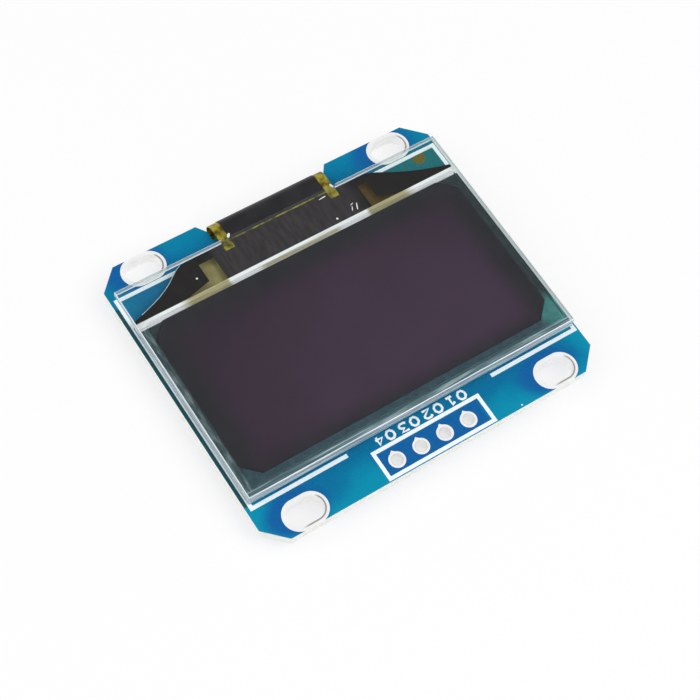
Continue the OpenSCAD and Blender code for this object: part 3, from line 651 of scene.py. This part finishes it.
def make_numbers(materials):
    """Plain numbers at the header holes, printed upside down beside the header's frame."""
    width, height, stroke, step = 1.0, 0.80, 0.25, 1.14
    foot_y = PINS[0].y + FRAME_REACH + NUMBER_GAP + stroke / 2 + height
    for i, pin in enumerate(reversed(PINS)):
        paths = []
        for place, digit in enumerate(f"0{i + 1}"):
            start = pin.x + NUMBER_SHIFT + (step + DIGIT_W * width) / 2 - place * step
            for path in DIGITS[digit]:
                paths.append([(start - x * width, foot_y - y * height, 0) for x, y in path])
        name = f"pin_number_{i + 1}"
        mesh = beads(name, paths, stroke / 2, "POLY")
        flat = (INK_HIGH.z - INK_LOW.z) / (stroke / 2)
        mesh.transform(Matrix.Translation((0, 0, BOARD_HIGH.z * MM)) @ Matrix.Diagonal((1, 1, flat, 1)))
        add_piece(name, mesh, materials["white_ink"])


def resin(name, colour, roughness):
    """Set glue, slightly cloudy."""
    n = Nodes(name)
    cloud = n.noise(6.0, 2.0)
    body = n.principled(
        Base_Color=n.mix(n.span(cloud, 0.35, 0.65), [part * 0.8 for part in colour], colour),
        Roughness=roughness, Normal=n.bump(cloud, 0.02),
    )
    return n.finish(body)


def make_fan_bead():
    """A thin bead of clear glue along the curved edge of the left fan of leads, painted pale as a highlight.
    """
    radius = 0.035
    corners = [v.co / MM for v in frame["nodes"]["lead_film"].data.vertices]
    edge = {(round(c.x, 3), round(c.y, 3)) for c in corners if c.x < FAN_START}
    edge = sorted(p for p in edge if p[1] > LEADS_LOW.y + 0.4)
    points = [(x - radius, y + radius, LEADS_LOW.z + radius) for x, y in edge]
    mesh = beads("fan_bead", [points], radius)
    # Painted highlight: the clear glue is coloured pale blue-grey for the light its edge catches.
    add_piece("fan_bead", mesh, resin("glue_painted_highlight", (0.42, 0.56, 0.62), 0.4))


BULGES = 5  # how many ways a drop is pulled out of shape


def blob_mesh(name, centre, size, turn=0.0, seed=1):
    """A smooth uneven drop: a ball pulled out of shape, squashed and turned in plan."""
    rng = random.Random(seed)
    bulges = []
    for _ in range(BULGES):
        axis = Vector([rng.uniform(-1, 1) for _ in "xyz"]).normalized()
        bulges.append((axis, rng.uniform(-0.25, 0.3)))
    ball = bmesh.new()
    bmesh.ops.create_icosphere(ball, subdivisions=3, radius=1.0)
    for vertex in ball.verts:
        direction = vertex.co.normalized()
        swell = 1 + sum(share * max(0, direction.dot(axis)) ** 2 for axis, share in bulges)
        vertex.co = direction * swell
    fit = max(v.co.length for v in ball.verts)
    place = Matrix.Translation(Vector(centre) * MM) @ Matrix.Rotation(math.radians(turn), 4, "Z")
    shape = Matrix.Diagonal((*[part * MM / (2 * fit) for part in size], 1))
    bmesh.ops.transform(ball, matrix=place @ shape, verts=ball.verts)
    for face in ball.faces:
        face.smooth = True
    mesh = bpy.data.meshes.new(name)
    ball.to_mesh(mesh)
    ball.free()
    return mesh


def make_glue():
    """Drops of glue at the connector's corners and on the ledge, and a dab of amber by the right slot."""
    clear = resin("set_glue", (0.93, 0.92, 0.86), 0.25)
    ledge = GLASS_HIGH.z + 0.01
    top = BOARD_HIGH.z
    drops = [
        ("corner_glue_left", (-5.15, 12.55, GLASS_LOW.z - 0.02), (0.34, 0.62, 0.12), -35),
        ("corner_glue_right", (6.0, 12.45, GLASS_LOW.z - 0.02), (0.28, 0.60, 0.12), 20),
        ("ledge_glue_a", (6.08, 9.06, ledge), (0.12, 0.75, 0.07), -30),
        ("ledge_glue_b", (6.58, 9.02, ledge), (0.14, 0.85, 0.07), -22),
        ("ledge_glue_c", (6.28, 9.46, ledge), (0.45, 0.1, 0.07), 20),
        ("ledge_glue_d", (4.28, 11.37, ledge), (0.95, 0.11, 0.07), 4),
        ("ledge_glue_e", (-10.17, 9.71, ledge), (0.22, 0.22, 0.07), 0),
        ("ledge_glue_f", (4.23, 8.77, ledge), (0.22, 0.26, 0.07), 30),
        ("board_fleck", (8.7, -15.0, top), (0.20, 0.20, 0.06), 0),
    ]
    for seed, (name, centre, size, turn) in enumerate(drops):
        add_piece(name, blob_mesh(name, centre, size, turn, seed), clear)
    amber = resin("amber_glue", (0.16, 0.13, 0.01), 0.35)
    dab = blob_mesh("amber_dab", (15.4, 11.3, top), (1.5, 1.25, 0.08), 15, 21)
    add_piece("amber_dab", dab, amber)


# Half the floor's width in metres, and how much of what is seen of it is plain white
FLOOR_HALF, FLOOR_GLOW = 4.0, 0.76


def make_floor():
    """A wide pale floor that shows as white and keeps a soft shadow."""
    half = FLOOR_HALF
    mesh = bpy.data.meshes.new("floor")
    corners = [(-half, -half, 0), (half, -half, 0), (half, half, 0), (-half, half, 0)]
    mesh.from_pydata(corners, [], [(0, 1, 2, 3)])
    floor = bpy.data.objects.new("floor", mesh)
    bpy.context.scene.collection.objects.link(floor)
    n = Nodes("floor")
    path = n.add("ShaderNodeLightPath").outputs
    seen = n.math("MAXIMUM", path["Is Camera Ray"], path["Is Glossy Ray"])
    seen = n.math("MAXIMUM", seen, path["Is Transmission Ray"])
    glow = n.add("ShaderNodeEmission")
    glow.inputs[0].default_value = (1, 1, 1, 1)
    glow.inputs[1].default_value = 1
    paper = n.add("ShaderNodeBsdfDiffuse")
    paper.inputs[0].default_value = (0.93, 0.93, 0.93, 1)
    share = n.math("MULTIPLY", seen, FLOOR_GLOW)
    mesh.materials.append(n.finish(n.blend(share, paper.outputs[0], glow.outputs[0])))


make_camera()
make_world()
make_lamp("key", 35, 55, 0.5, 0.35, 1.3)
make_lamp("fill", -105, 45, 0.5, 0.4, 1.0)
make_floor()
slot_materials = dress_nodes()
make_numbers(slot_materials)
make_fan_bead()
make_glue()
bpy.context.scene.view_settings.view_transform = "Standard"
